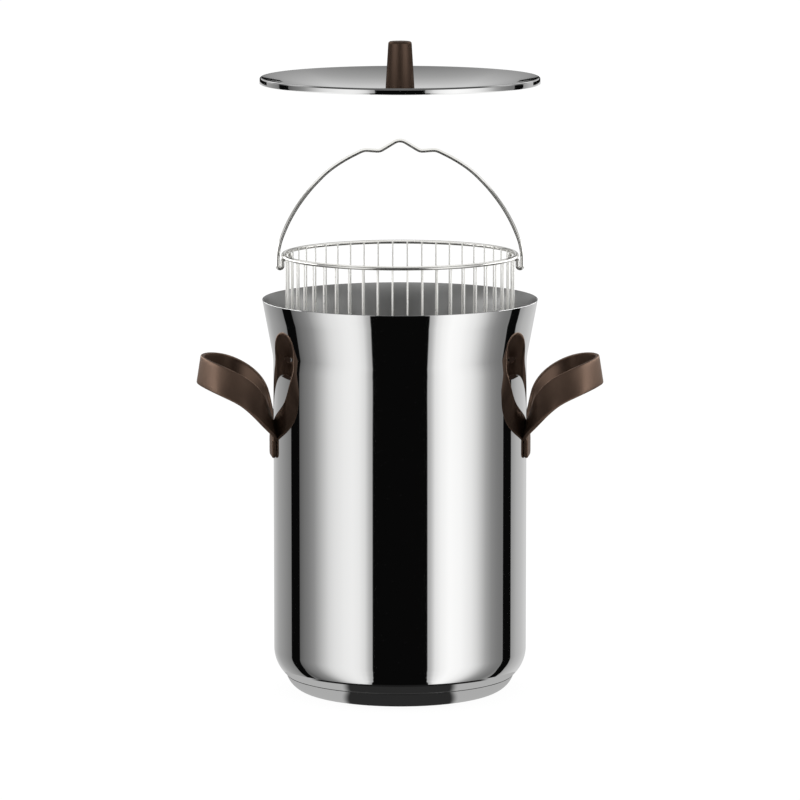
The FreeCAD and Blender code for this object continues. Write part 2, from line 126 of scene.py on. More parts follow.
def tube(name, path, radius, material, sides=16, closed=False, caps="flat", angle=50.0):
    """A round wire of one radius along a path of points in mm."""
    pts = [Vector(p) for p in path]
    count = len(pts)
    verts, faces = [], []
    normal = None
    rings = []
    for i, p in enumerate(pts):
        if closed:
            t = pts[(i + 1) % count] - pts[i - 1]
        else:
            t = pts[min(i + 1, count - 1)] - pts[max(i - 1, 0)]
        t.normalize()
        if normal is None:
            guess = Vector((0, 0, 1)) if abs(t.z) < 0.9 else Vector((1, 0, 0))
            normal = (guess - t * guess.dot(t)).normalized()
        else:
            normal = (normal - t * normal.dot(t)).normalized()
        binormal = t.cross(normal)
        first = len(verts)
        for k in range(sides):
            a = 2 * math.pi * k / sides
            v = p + (normal * math.cos(a) + binormal * math.sin(a)) * radius
            verts.append(v * MM)
        rings.append(list(range(first, first + sides)))
        if not closed and i in (0, count - 1) and caps == "round":
            pass
    pairs = list(zip(rings, rings[1:]))
    if closed:
        pairs.append((rings[-1], rings[0]))
    for a, b in pairs:
        for k in range(sides):
            m = (k + 1) % sides
            faces.append((a[k], a[m], b[m], b[k]))
    if not closed:
        faces.append(tuple(reversed(rings[0])))
        faces.append(tuple(rings[-1]))
    return add_mesh(name, verts, faces, material, angle)


def hoop(name, ring_radius, wire_radius, level, material, segments=288, sides=20):
    path = [(ring_radius * math.cos(2 * math.pi * i / segments),
             ring_radius * math.sin(2 * math.pi * i / segments), level) for i in range(segments)]
    return tube(name, path, wire_radius, material, sides=sides, closed=True, angle=None)


def join(name, objects):
    """Joins meshes into one object."""
    bm = bmesh.new()
    for obj in objects:
        bm.from_mesh(obj.data)
    mesh = bpy.data.meshes.new(name)
    bm.to_mesh(mesh)
    bm.free()
    mesh.materials.append(objects[0].data.materials[0])
    for obj in objects:
        old = obj.data
        bpy.data.objects.remove(obj)
        bpy.data.meshes.remove(old)
    obj = bpy.data.objects.new(name, mesh)
    scene.collection.objects.link(obj)
    return obj


# ----------------------------------------------------------------- materials
def new_material(name):
    mat = bpy.data.materials.new(name)
    mat.use_nodes = True
    nt = mat.node_tree
    nt.nodes.clear()
    out = nt.nodes.new("ShaderNodeOutputMaterial")
    bsdf = nt.nodes.new("ShaderNodeBsdfPrincipled")
    nt.links.new(bsdf.outputs["BSDF"], out.inputs["Surface"])
    return mat, nt, bsdf


def coords(nt, scale):
    tc = nt.nodes.new("ShaderNodeTexCoord")
    mp = nt.nodes.new("ShaderNodeMapping")
    mp.inputs["Scale"].default_value = scale
    nt.links.new(tc.outputs["Object"], mp.inputs["Vector"])
    return mp.outputs["Vector"]


def noise(nt, vector, scale, detail=3.0, rough=0.5):
    n = nt.nodes.new("ShaderNodeTexNoise")
    n.inputs["Scale"].default_value = scale
    n.inputs["Detail"].default_value = detail
    n.inputs["Roughness"].default_value = rough
    nt.links.new(vector, n.inputs["Vector"])
    return n.outputs["Fac"]


def ramp(nt, fac, stops, interpolation="LINEAR"):
    r = nt.nodes.new("ShaderNodeValToRGB")
    r.color_ramp.interpolation = interpolation
    els = r.color_ramp.elements
    while len(els) > 1:
        els.remove(els[-1])
    els[0].position = stops[0][0]
    els[0].color = stops[0][1]
    for pos, color in stops[1:]:
        e = els.new(pos)
        e.color = color
    nt.links.new(fac, r.inputs["Fac"])
    return r.outputs["Color"]


def grey(v, alpha=1.0):
    return (v, v, v, alpha)


def mapped(nt, value, low, high):
    m = nt.nodes.new("ShaderNodeMapRange")
    m.inputs["To Min"].default_value = low
    m.inputs["To Max"].default_value = high
    nt.links.new(value, m.inputs["Value"])
    return m.outputs["Result"]


def bump(nt, height, strength, distance):
    b = nt.nodes.new("ShaderNodeBump")
    b.inputs["Strength"].default_value = strength
    b.inputs["Distance"].default_value = distance
    nt.links.new(height, b.inputs["Height"])
    return b.outputs["Normal"]


def mirror_steel(name, tint=(0.93, 0.93, 0.925), rough=(0.018, 0.045), marks_strength=0.02):
    """Mirror-polished sheet: a faint cloud in the polish and hair-fine wiping
    marks that run round the pot."""
    mat, nt, bsdf = new_material(name)
    cloud = noise(nt, coords(nt, (14.0, 14.0, 9.0)), 1.0, 3.0)
    marks = noise(nt, coords(nt, (60.0, 60.0, 2600.0)), 1.0, 2.0)
    c = ramp(nt, cloud, [(0.3, (tint[0] * 0.985, tint[1] * 0.985, tint[2] * 0.985, 1)),
                         (0.7, (*tint, 1))])
    nt.links.new(c, bsdf.inputs["Base Color"])
    bsdf.inputs["Metallic"].default_value = 1.0
    both = nt.nodes.new("ShaderNodeMath")
    both.operation = "MULTIPLY"
    nt.links.new(cloud, both.inputs[0])
    nt.links.new(marks, both.inputs[1])
    nt.links.new(mapped(nt, both.outputs[0], rough[0], rough[1] + (rough[1] - rough[0])),
                 bsdf.inputs["Roughness"])
    nt.links.new(bump(nt, marks, marks_strength, 0.00002), bsdf.inputs["Normal"])
    return mat


def brown_coat(name):
    """Satin brown coating on steel: warm dark brown with a soft sheen and a
    fine grain."""
    mat, nt, bsdf = new_material(name)
    fine = noise(nt, coords(nt, (1.0, 1.0, 1.0)), 2600.0, 3.0, 0.6)
    broad = noise(nt, coords(nt, (1.0, 1.0, 1.0)), 38.0, 3.0, 0.5)
    mix = nt.nodes.new("ShaderNodeMath")
    mix.operation = "ADD"
    half = nt.nodes.new("ShaderNodeMath")
    half.operation = "MULTIPLY"
    half.inputs[1].default_value = 0.5
    nt.links.new(fine, mix.inputs[0])
    nt.links.new(broad, mix.inputs[1])
    nt.links.new(mix.outputs[0], half.inputs[0])
    color = ramp(nt, half.outputs[0], [(0.30, (0.158, 0.097, 0.066, 1)), (0.70, (0.188, 0.118, 0.082, 1))])
    nt.links.new(color, bsdf.inputs["Base Color"])
    bsdf.inputs["Metallic"].default_value = 0.92
    bsdf.inputs["Specular Tint"].default_value = (0.62, 0.50, 0.42, 1.0)
    bsdf.inputs["Coat Weight"].default_value = 0.5
    bsdf.inputs["Coat Roughness"].default_value = 0.45
    nt.links.new(mapped(nt, half.outputs[0], 0.38, 0.48), bsdf.inputs["Roughness"])
    nt.links.new(bump(nt, fine, 0.16, 0.00004), bsdf.inputs["Normal"])
    return mat


def bright_wire(name, metallic=0.94, rough=(0.15, 0.20), low=(0.86, 0.85, 0.81), high=(0.92, 0.91, 0.88)):
    """Bright drawn wire: a faint cloud in its colour and in its polish."""
    mat, nt, bsdf = new_material(name)
    cloud = noise(nt, coords(nt, (1.0, 1.0, 1.0)), 160.0, 2.0)
    broad = noise(nt, coords(nt, (1.0, 1.0, 1.0)), 60.0, 2.0)
    color = ramp(nt, broad, [(0.35, (*low, 1)), (0.65, (*high, 1))])
    nt.links.new(color, bsdf.inputs["Base Color"])
    bsdf.inputs["Metallic"].default_value = metallic
    nt.links.new(mapped(nt, cloud, rough[0], rough[1]), bsdf.inputs["Roughness"])
    return mat


def plain_steel(name):
    mat, nt, bsdf = new_material(name)
    fine = noise(nt, coords(nt, (1.0, 1.0, 1.0)), 1500.0, 3.0)
    color = ramp(nt, fine, [(0.3, (0.50, 0.50, 0.49, 1)), (0.7, (0.66, 0.66, 0.65, 1))])
    nt.links.new(color, bsdf.inputs["Base Color"])
    bsdf.inputs["Metallic"].default_value = 1.0
    nt.links.new(mapped(nt, fine, 0.25, 0.42), bsdf.inputs["Roughness"])
    nt.links.new(bump(nt, fine, 0.15, 0.00004), bsdf.inputs["Normal"])
    return mat


STEEL = mirror_steel("mirror_steel")
# Darker copy of the mirror steel for the inside of the pot: painted shade.
SHADED_INNER_STEEL = mirror_steel("inner_steel_painted_shade", tint=(0.36, 0.36, 0.357), rough=(0.26, 0.34), marks_strength=0.12)
# Dark copy of the mirror steel for the top edge of the rim: a painted dark line.
SHADED_RIM_STEEL = mirror_steel("rim_edge_painted_shade", tint=(0.20, 0.20, 0.198), rough=(0.30, 0.40), marks_strength=0.12)
LID_STEEL = mirror_steel("lid_steel", rough=(0.03, 0.07))
BASE_STEEL = mirror_steel("base_steel", tint=(0.90, 0.90, 0.895), rough=(0.04, 0.08))
BROWN = brown_coat("brown_coating")
WIRE = bright_wire("bright_wire")
# A near-white, mostly matt copy of the wire for the uprights: painted light standing in for the bright panels the thin
# polished wires reflect.
LIT_THIN_WIRE = bright_wire("thin_wire_painted_light", metallic=0.16, rough=(0.24, 0.34), low=(0.97, 0.965, 0.92), high=(1.0, 0.995, 0.96))
PLAIN = plain_steel("plain_steel")


def dress(obj, material):
    """Gives a carried-over CAD node its material."""
    obj.data.materials.clear()
    obj.data.materials.append(material)


# ------------------------------------------------------------------ pot body
R, G, RC, BT, H = 80.0, 0.9, 22.5, 5.2, 250.0
RR, FA, FB = 86.9, 10.6, 45.0
EDGE = 0.28
tan_fa, sin_fa, cos_fa = (f(math.radians(FA)) for f in (math.tan, math.sin, math.cos))
kink = H - (RR - R) / tan_fa
bend_low = kink - FB * math.tan(math.radians(FA / 2))
rim_in = RR - G / cos_fa
outer = [(0.0, BT)] + [(R - RC, BT)]
outer += arc(R - RC, BT + RC, RC, -90, 0, 40)[1:]
outer += [(R, bend_low)] + arc(R + FB, bend_low, FB, 180, 180 - FA, 16)[1:]
rim_low = (RR - EDGE * sin_fa * 1.4, H - EDGE * 1.4)
outer += [(RR - EDGE * 1.4 * tan_fa, H - EDGE * 1.4)]
outer += [(RR - 0.10, H - 0.14), (RR - 0.24, H - 0.03), (RR - 0.36, H)]
inner = [(rim_in + 0.30, H), (rim_in + 0.16, H - 0.05), (rim_in + 0.03, H - 0.20),
         (rim_in - 0.40 * tan_fa, H - 0.40)]
inner += list(reversed(arc(R + FB, bend_low, FB + G, 180, 180 - FA, 16)))
inner += [(R - G, BT + RC)]
inner += arc(R - RC, BT + RC, RC - G, 0, -90, 40)[1:]
inner += [(0.0, BT + G)]
pot_profile = spread(outer, 12.0) + spread(inner, 12.0)
pot = lathe("pot_shell", pot_profile, STEEL, segments=384, closed=False, angle=40.0)
pot.data.materials.append(SHADED_INNER_STEEL)
pot.data.materials.append(SHADED_RIM_STEEL)
# Faces that turn inward, and the floor inside the pot, take the darker inner copy of the steel: painted shade inside
# the pot.
for face in pot.data.polygons:
    c, n = face.center, face.normal
    across = math.hypot(c.x, c.y)
    inward = -(n.x * c.x + n.y * c.y) / across if across > 1e-9 else 0.0
    if inward > 0.3 or (n.z > 0.5 and c.z < 0.05):
        face.material_index = 1
    # The faces at the very top of the rim take the dark rim copy: a painted dark line along its edge.
    if c.z > (H - 0.16) * MM:
        face.material_index = 2
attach(pot, "pot")
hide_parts("pot_body")

# ----------------------------------------------------------------- base disc
BF, BE, BH, BS = 58.0, 72.2, 10.4, 71.6
seam_z = BT + RC - math.sqrt(RC * RC - (BS - R + RC) ** 2)
edge_bend = ((BE - BF) ** 2 + BH ** 2) / (2 * BH)
turn = math.degrees(math.asin((BE - BF) / edge_bend))
capsule = [(0.0, 0.0), (BF, 0.0)]
capsule += arc(BF, edge_bend, edge_bend, -90, -90 + turn, 36)[1:]
capsule += [(BE - 0.10, BH + 0.04), (BS, seam_z)]
a0 = math.degrees(math.atan2(seam_z - BT - RC, BS - R + RC))
capsule += arc(R - RC, BT + RC, RC, a0, -90, 24)[1:]
capsule += [(0.0, BT)]
base = lathe("capsule_base", spread(capsule, 14.0), BASE_STEEL, segments=384, closed=False, angle=32.0)
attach(base, "pot")
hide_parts("base_disc")

# ----------------------------------------------------------------------- lid
LIFT = 381.2
RL, LG, LD, LE, LA, LS, LF, LH = 88.0, 0.8, 8.9, 1.2, 12.04, 4.2, 10.0, 2.4
sa, ca = math.sin(math.radians(LA)), math.cos(math.radians(LA))
ex, ez = RL - LE - LE * sa, LD - LE + LE * ca
exi, ezi = RL - LE - (LE - LG) * sa, LD - LE + (LE - LG) * ca
dish = ((ex - LF) ** 2 + (ez - LG) ** 2) / (2 * (ez - LG))
dish_i = ((exi - LF) ** 2 + ezi ** 2) / (2 * ezi)
lid = [(LH, 0.0), (LF, 0.0)]
lid += arc(LF, dish_i, dish_i, -90, -90 + math.degrees(math.asin((exi - LF) / dish_i)), 40)[1:]
lid += arc(RL - LE, LD - LE, LE - LG, 90 + LA, 0, 8)[1:]
skirt = LD - LS
lid += [(RL - LG, skirt + 1.2), (RL - LG, skirt + 0.28), (RL - LG + 0.06, skirt + 0.10), (RL - LG + 0.2, skirt + 0.01),
        (RL - LG + 0.3, skirt), (RL - 0.3, skirt), (RL - 0.2, skirt + 0.01), (RL - 0.06, skirt + 0.10),
        (RL, skirt + 0.28), (RL, skirt + 1.2)]
lid += arc(RL - LE, LD - LE, LE, 0, 90 + LA, 20)
lid += list(reversed(arc(LF, LG + dish, dish, -90, -90 + math.degrees(math.asin((ex - LF) / dish)), 40)))[1:]
lid += [(LH, LG)]
lid = [(r, z + LIFT) for r, z in lid]
lid_obj = lathe("lid_shell", lid, LID_STEEL, segments=384, closed=True, angle=40.0)
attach(lid_obj, "pot")
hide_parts("lid_dish")

# ---------------------------------------------------------------------- knob
KH, KF, KT, KB, KD = 30.4, 9.15, 7.3, 2.0, 12.5
lean = math.atan2(KF - KT, KH)
top = 1.5
knob = [(KB, 0.0), (KF - 0.38, 0.0)] + arc(KF - 0.42, 0.38, 0.38, -80, 0, 6)
# rounded top edge tangent to the tapered side and the flat top
cx = KT + (top * math.tan(lean)) - top / math.cos(lean) + 0.0
knob += [(KF - 3.0 * math.tan(lean), 3.0), (cx + top * math.cos(lean), KH - top + top * math.sin(lean))]
knob += arc(cx, KH - top, top, math.degrees(lean), 90, 12)[1:]
knob += [(cx - 1.2, KH), (0.0, KH - 0.0)]
knob_in = [(0.0, KD), (KB, KD)]
base_z = LIFT + LG
verts_profile = [(r, z + base_z) for r, z in spread(knob, 4.0)]
knob_profile = verts_profile
knob_obj = lathe("knob_turned", [(0.0, base_z + KD), (KB, base_z + KD)] + knob_profile, BROWN,
                 segments=128, closed=False, angle=35.0)
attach(knob_obj, "pot")
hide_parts("lid_knob")

# ------------------------------------------------------------------- handles
# Upper and lower edge of the ribbon for the half on the -Y side, in mm.
RIBBON = [
    ((81.00, -2.6, 168.7), (78.90, -20.6, 164.7)),
    ((80.95, -7.8, 172.8), (79.40, -24.8, 168.2)),
    ((81.20, -14.3, 176.4), (81.20, -29.9, 171.3)),
    ((82.20, -20.6, 181.0), (84.60, -35.1, 174.9)),
    ((84.20, -25.2, 186.6), (88.60, -38.1, 178.6)),
    ((87.20, -27.4, 192.9), (93.20, -38.9, 182.6)),
    ((91.60, -28.8, 199.1), (98.40, -38.2, 186.4)),
    ((97.40, -30.3, 203.8), (104.00, -37.1, 189.6)),
    ((104.20, -30.6, 207.5), (109.80, -34.9, 192.1)),
    ((111.00, -28.3, 210.4), (115.40, -30.6, 194.1)),
    ((117.00, -22.9, 212.3), (120.60, -23.8, 195.6)),
    ((121.40, -15.5, 213.3), (124.40, -15.8, 196.5)),
    ((123.90, -7.8, 213.8), (126.70, -8.0, 196.8)),
    ((124.70, 0.0, 214.0), (127.40, 0.0, 196.9)),
]
RW, RT, RK, TF, TC = 17.6, 2.4, 0.7, 150.8, 81.0


def spline(knots, values, at):
    """Natural cubic spline through rows of values."""
    t = np.asarray(knots, float)
    y = np.asarray(values, float)
    n = len(t)
    h = np.diff(t)
    A = np.zeros((n, n))
    b = np.zeros_like(y)
    A[0, 0] = A[-1, -1] = 1.0
    for i in range(1, n - 1):
        A[i, i - 1] = h[i - 1]
        A[i, i] = 2 * (h[i - 1] + h[i])
        A[i, i + 1] = h[i]
        b[i] = 6 * ((y[i + 1] - y[i]) / h[i] - (y[i] - y[i - 1]) / h[i - 1])
    m = np.linalg.solve(A, b)
    out = []
    for s in at:
        i = int(min(max(np.searchsorted(t, s) - 1, 0), n - 2))
        d = s - t[i]
        out.append(y[i] + d * ((y[i + 1] - y[i]) / h[i] - h[i] * (2 * m[i] + m[i + 1]) / 6)
                   + d * d * m[i] / 2 + d ** 3 * (m[i + 1] - m[i]) / (6 * h[i]))
    return np.array(out)


def ribbon_handle(name, mirror):
    lean_a = math.asin(10.0 / TC)
    out = np.array([math.cos(lean_a), -math.sin(lean_a), 0.0])
    along = np.array([math.sin(lean_a), math.cos(lean_a), 0.0])
    rows = []
    foot = [(0.0, RW - 5.0, RT - 1.5), (0.12, RW - 4.0, RT - 1.15), (0.35, RW - 2.8, RT - 0.7),
            (0.68, RW - 1.8, RT - 0.4), (1.10, RW - 1.1, RT - 0.2), (1.70, RW - 0.5, RT - 0.06),
            (2.40, RW - 0.2, RT), (3.50, RW - 0.05, RT), (5.0, RW, RT), (8.5, RW, RT), (11.5, RW, RT)]
    for dz, width, gauge in foot:
        c = out * TC + np.array([0, 0, TF + dz])
        rows.append(np.concatenate([c, along, [width, gauge]]))
    for a, b in RIBBON:
        a, b = np.array(a), np.array(b)
        w = (a - b) / np.linalg.norm(a - b)
        rows.append(np.concatenate([(a + b) / 2, w, [RW, RT]]))
    half = np.array(rows)
    other = half[:-1][::-1].copy()
    other[:, 1] *= -1
    other[:, 4] *= -1
    full = np.vstack([half, other])
    gaps = np.linalg.norm(np.diff(full[:, :3], axis=0), axis=1)
    knots = np.concatenate([[0], np.cumsum(gaps)])
    at = []
    for i in range(len(knots) - 1):
        k = max(1, int(math.ceil(gaps[i] / 0.9)))
        at += [knots[i] + (knots[i + 1] - knots[i]) * j / k for j in range(k)]
    at.append(knots[-1])
    fine = spline(knots, full, at)
    tangents = np.gradient(fine[:, :3], axis=0)
    lows = np.array(at) < knots[len(foot) - 1]
    highs = np.array(at) > knots[-1] - knots[len(foot) - 1]
    tangents[lows] = (0, 0, 1)
    tangents[highs] = (0, 0, -1)
    verts, faces = [], []
    ring_n = None
    steps = 5
    for row, t in zip(fine, tangents):
        c, w, width, gauge = row[:3], row[3:6], row[6], row[7]
        t = t / np.linalg.norm(t)
        w = w - t * np.dot(w, t)
        w /= np.linalg.norm(w)
        m = np.cross(w, t)
        k = min(RK, gauge * 0.42)
        hw, hg = width / 2, gauge / 2
        ring = []
        for cu, cv, start in ((hw - k, hg - k, 0), (-hw + k, hg - k, 90), (-hw + k, -hg + k, 180), (hw - k, -hg + k, 270)):
            for i in range(steps + 1):
                a = math.radians(start + 90 * i / steps)
                ring.append((cu + k * math.cos(a), cv + k * math.sin(a)))
        # extra points across the two broad faces
        dense = []
        for i, p in enumerate(ring):
            dense.append(p)
            nxt = ring[(i + 1) % len(ring)]
            if abs(nxt[0] - p[0]) > 4.0:
                for j in range(1, 8):
                    dense.append((p[0] + (nxt[0] - p[0]) * j / 8, p[1] + (nxt[1] - p[1]) * j / 8))
        ring_n = len(dense)
        for u, v in dense:
            p = c + w * u + m * v
            verts.append((p[0] * MM * (-1 if mirror else 1), p[1] * MM, p[2] * MM))
    count = len(fine)
    for i in range(count - 1):
        for k in range(ring_n):
            k2 = (k + 1) % ring_n
            faces.append((i * ring_n + k, i * ring_n + k2, (i + 1) * ring_n + k2, (i + 1) * ring_n + k))
    faces.append(tuple(range(ring_n)))
    faces.append(tuple((count - 1) * ring_n + k for k in range(ring_n)))
    return add_mesh(name, verts, faces, BROWN, 40.0)


for name, node, mirror in (("ribbon_right", "handle_right", False), ("ribbon_left", "handle_left", True)):
    ribbon = ribbon_handle(name, mirror)
    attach(ribbon, "pot")
    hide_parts(node)

# -------------------------------------------------------------------- basket
BR, BW, BL, BD = 73.5, 1.3, 277.8, 152.0
UW, HW, FW, NW, CW, BITE = 0.5, 0.9, 1.2, 0.9, 1.2, 0.05
upright_line = BR - BW - UW + BITE
foot_line = upright_line - UW - FW + BITE
foot_level = BL - BD + FW
hoop_line = upright_line + UW + HW - BITE

top_ring = hoop("top_ring_wire", BR, BW, BL, WIRE)
mid_ring = hoop("mid_hoop_wire", hoop_line, HW, BL - 78.0, WIRE)
low_ring = hoop("bottom_ring_wire", foot_line, FW, foot_level, WIRE)
for obj, node in ((top_ring, "basket_top_ring"), (mid_ring, "basket_mid_hoop"), (low_ring, "basket_bottom_ring")):
    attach(obj, "pot")
    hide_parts(node)

bars = []
bar_top, bar_low = BL + 0.3, foot_level - 0.5
for i in range(48):
    a = math.radians((i + 0.5) * 7.5)
    x, y = upright_line * math.cos(a), upright_line * math.sin(a)
    path = [(x, y, bar_low + (bar_top - bar_low) * k / 6) for k in range(7)]
    bars.append(tube("bar", path, UW, LIT_THIN_WIRE, sides=14, angle=50.0))
uprights = join("upright_wires", bars)
uprights.data.polygons.foreach_set("use_smooth", [True] * len(uprights.data.polygons))
uprights.data.set_sharp_from_angle(angle=math.radians(50.0))
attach(uprights, "pot")
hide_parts("basket_uprights")

# ---------------------------------------------------------------------- bail
ARCH = [
    (0.0, 73.3, 6.5),
    (-12.7, 65.6, 6.0),
    (-22.7, 66.4, 9.0),
    (-34.7, 60.4, None),
    (-45.3, 53.2, None),
    (-56.0, 42.3, None),
    (-64.4, 31.2, None),
    (-70.6, 20.4, None),
    (-75.3, 9.0, None),
    (-77.0, 1.0, None),
    (-77.1, -8.6, 1.5),
    (-74.05, -8.6, 1.5),
    (-74.05, -2.85, 1.4),
    (-69.2, -2.85, 1.4),
    (-69.2, 1.2, None),
]


def rounded_points(points, step=1.2):
    """Straight runs joined by tangent arcs, sampled for a tube."""
    out = [points[0][0]]
    for i in range(1, len(points) - 1):
        p, radius = points[i]
        before = points[i - 1][0] - p
        after = points[i + 1][0] - p
        run = min(before.length, after.length)
        before.normalize()
        after.normalize()
        turn_a = math.pi - before.angle(after)
        limit = 0.48 * run / math.tan(turn_a / 2)
        r = limit if radius is None else min(radius, limit)
        cut = r * math.tan(turn_a / 2)
        a, b = p + before * cut, p + after * cut
        bis = (before + after).normalized()
        centre = p + bis * (r / math.cos(turn_a / 2))
        n = max(4, int(math.ceil(r * turn_a / step)))
        va, vb = a - centre, b - centre
        ang = va.angle(vb)
        for k in range(n + 1):
            f = k / n
            s0 = math.sin((1 - f) * ang) / math.sin(ang)
            s1 = math.sin(f * ang) / math.sin(ang)
            out.append(centre + va * s0 + vb * s1)
    out.append(points[-1][0])
    clean = [out[0]]
    for p in out[1:]:
        if (p - clean[-1]).length > 0.05:
            clean.append(p)
    return clean


left_side = [(Vector((x, 0.0, BL + z)), r) for x, z, r in ARCH]
right_side = [(Vector((-p.x, 0.0, p.z)), r) for p, r in left_side[1:]]
bail_line = rounded_points(list(reversed(right_side)) + left_side)
bail = tube("bail_wire", bail_line, 1.25, WIRE, sides=20, angle=50.0)
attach(bail, "bail")
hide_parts("basket_bail")

# ------------------------------------------------- CAD nodes that stay as is
for node in ("basket_floor_rods", "basket_cross_rods"):
    dress(nodes[node], WIRE)
for node in ("knob_screw",):
    dress(nodes[node], PLAIN)

# --------------------------------------------------------------------- floor
floor_mesh = bpy.data.meshes.new("floor")
s = 30.0
floor_mesh.from_pydata([(-s, -s, 0), (s, -s, 0), (s, s, 0), (-s, s, 0)], [], [(0, 1, 2, 3)])
floor = bpy.data.objects.new("floor", floor_mesh)
scene.collection.objects.link(floor)
fmat, fnt, fb = new_material("floor_paper")
fb.inputs["Base Color"].default_value = (0.08, 0.08, 0.08, 1)
fb.inputs["Roughness"].default_value = 0.9
fb.inputs["Specular IOR Level"].default_value = 0.0
fb.inputs["Emission Color"].default_value = (1, 1, 1, 1)
fb.inputs["Emission Strength"].default_value = 0.95
floor_mesh.materials.append(fmat)
floor.visible_glossy = False

# A card on the floor round the foot of the pot, seen only in the steel: painted shadow
# of the pot on the floor, grey at the sides, dark towards the front and dark along the front of its outer edge.
card_verts, card_faces = [(0.0, 0.0, 0.0)], []
card_n = 96
for radius in (75.0, 84.5):
    for i in range(card_n):
        a = 2 * math.pi * i / card_n
        card_verts.append((radius * MM * math.cos(a), radius * MM * math.sin(a), 0.0))
for i in range(card_n):
    j = (i + 1) % card_n
    card_faces.append((0, 1 + i, 1 + j))
    card_faces.append((1 + i, 1 + card_n + i, 1 + card_n + j, 1 + j))
card_mesh = bpy.data.meshes.new("foot_shadow_card")
card_mesh.from_pydata(card_verts, [], card_faces)
card = bpy.data.objects.new("foot_shadow_card", card_mesh)
scene.collection.objects.link(card)
card_mat = bpy.data.materials.new("foot_shadow_card")
card_mat.use_nodes = True
cnt = card_mat.node_tree
cnt.nodes.clear()
card_out = cnt.nodes.new("ShaderNodeOutputMaterial")
card_light = cnt.nodes.new("ShaderNodeEmission")
cnt.links.new(card_light.outputs["Emission"], card_out.inputs["Surface"])
card_mesh.materials.append(card_mat)
card.visible_camera = False
card.visible_diffuse = False
card.visible_shadow = False


def math_node(nt, op, a, b=None):
    m = nt.nodes.new("ShaderNodeMath")
    m.operation = op
    for i, v in enumerate((a, b)):
        if v is None:
            continue
        if isinstance(v, (int, float)):
            m.inputs[i].default_value = v
        else:
            nt.links.new(v, m.inputs[i])
    return m.outputs[0]


def between(nt, value, low, high, out_low=0.0, out_high=1.0, smooth=True):
    m = nt.nodes.new("ShaderNodeMapRange")
    m.interpolation_type = "SMOOTHSTEP" if smooth else "LINEAR"
    m.inputs["From Min"].default_value = low
    m.inputs["From Max"].default_value = high
    m.inputs["To Min"].default_value = out_low
    m.inputs["To Max"].default_value = out_high
    nt.links.new(value, m.inputs["Value"])
    return m.outputs["Result"]


ctc = cnt.nodes.new("ShaderNodeTexCoord")
csep = cnt.nodes.new("ShaderNodeSeparateXYZ")
cnt.links.new(ctc.outputs["Object"], csep.inputs[0])
c_az = math_node(cnt, "ABSOLUTE", math_node(cnt, "ARCTAN2", csep.outputs["X"],
                                            math_node(cnt, "MULTIPLY", csep.outputs["Y"], -1.0)))
c_r = math_node(cnt, "SQRT", math_node(cnt, "ADD", math_node(cnt, "POWER", csep.outputs["X"], 2.0),
                                       math_node(cnt, "POWER", csep.outputs["Y"], 2.0)))
K = 1.0 / 0.93      # the polished sheet returns 93% of the light


def glossy_card(name, verts, faces):
    """A card that shows only in the steel."""
    mesh = bpy.data.meshes.new(name)
    mesh.from_pydata(verts, [], faces)
    obj = bpy.data.objects.new(name, mesh)
    scene.collection.objects.link(obj)
    mat = bpy.data.materials.new(name)
    mat.use_nodes = True
    nt = mat.node_tree
    nt.nodes.clear()
    out = nt.nodes.new("ShaderNodeOutputMaterial")
    mesh.materials.append(mat)
    obj.visible_camera = False
    obj.visible_diffuse = False
    obj.visible_shadow = False
    return nt, out


# Behind the lid: a light card, brightest low in the middle, that fades out.
lnt, lout = glossy_card("lid_card", [(-0.20, 0.5, 0.33), (0.20, 0.5, 0.33), (0.20, 0.5, 0.80), (-0.20, 0.5, 0.80)],
                        [(0, 1, 2, 3)])
ltc = lnt.nodes.new("ShaderNodeTexCoord")
lsep = lnt.nodes.new("ShaderNodeSeparateXYZ")
lnt.links.new(ltc.outputs["Object"], lsep.inputs[0])
l_x = math_node(lnt, "ABSOLUTE", lsep.outputs["X"])
l_side = ramp(lnt, math_node(lnt, "MULTIPLY", l_x, 5.0), [
    (0.0, grey(1.0)), (0.20, grey(0.98)), (0.32, grey(0.62)), (0.42, grey(0.32)), (0.50, grey(0.22)), (1.0, grey(0.18))])
l_up = ramp(lnt, math_node(lnt, "MULTIPLY", math_node(lnt, "SUBTRACT", lsep.outputs["Z"], 0.33), 2.0), [
    (0.0, grey(lin(212) * K)), (0.12, grey(lin(210) * K)), (0.26, grey(lin(196) * K)), (0.42, grey(lin(158) * K)),
    (0.62, grey(lin(108) * K)), (0.8, grey(lin(80) * K))])
l_light = lnt.nodes.new("ShaderNodeEmission")
lnt.links.new(math_node(lnt, "MULTIPLY", l_side, l_up), l_light.inputs["Strength"])
l_clear = lnt.nodes.new("ShaderNodeBsdfTransparent")
l_mix = lnt.nodes.new("ShaderNodeMixShader")
fade = math_node(lnt, "MULTIPLY", between(lnt, l_x, 0.20, 0.13), between(lnt, lsep.outputs["Z"], 0.80, 0.68))
lnt.links.new(fade, l_mix.inputs["Fac"])
lnt.links.new(l_clear.outputs["BSDF"], l_mix.inputs[1])
lnt.links.new(l_light.outputs["Emission"], l_mix.inputs[2])
lnt.links.new(l_mix.outputs["Shader"], lout.inputs["Surface"])

# Two dark strips level with the lid, behind it on either side.
for side in (-1, 1):
    strip = []
    for i in range(13):
        a = math.radians(125.5 + (166.0 - 125.5) * i / 12)
        for z in (0.365, 0.415):
            strip.append((side * 0.30 * math.sin(a), -0.30 * math.cos(a), z))
    snt, sout = glossy_card("dark_strip", strip, [(2 * i, 2 * i + 2, 2 * i + 3, 2 * i + 1) for i in range(12)])
    s_light = snt.nodes.new("ShaderNodeEmission")
    s_light.inputs["Strength"].default_value = lin(10)
    snt.links.new(s_light.outputs["Emission"], sout.inputs["Surface"])
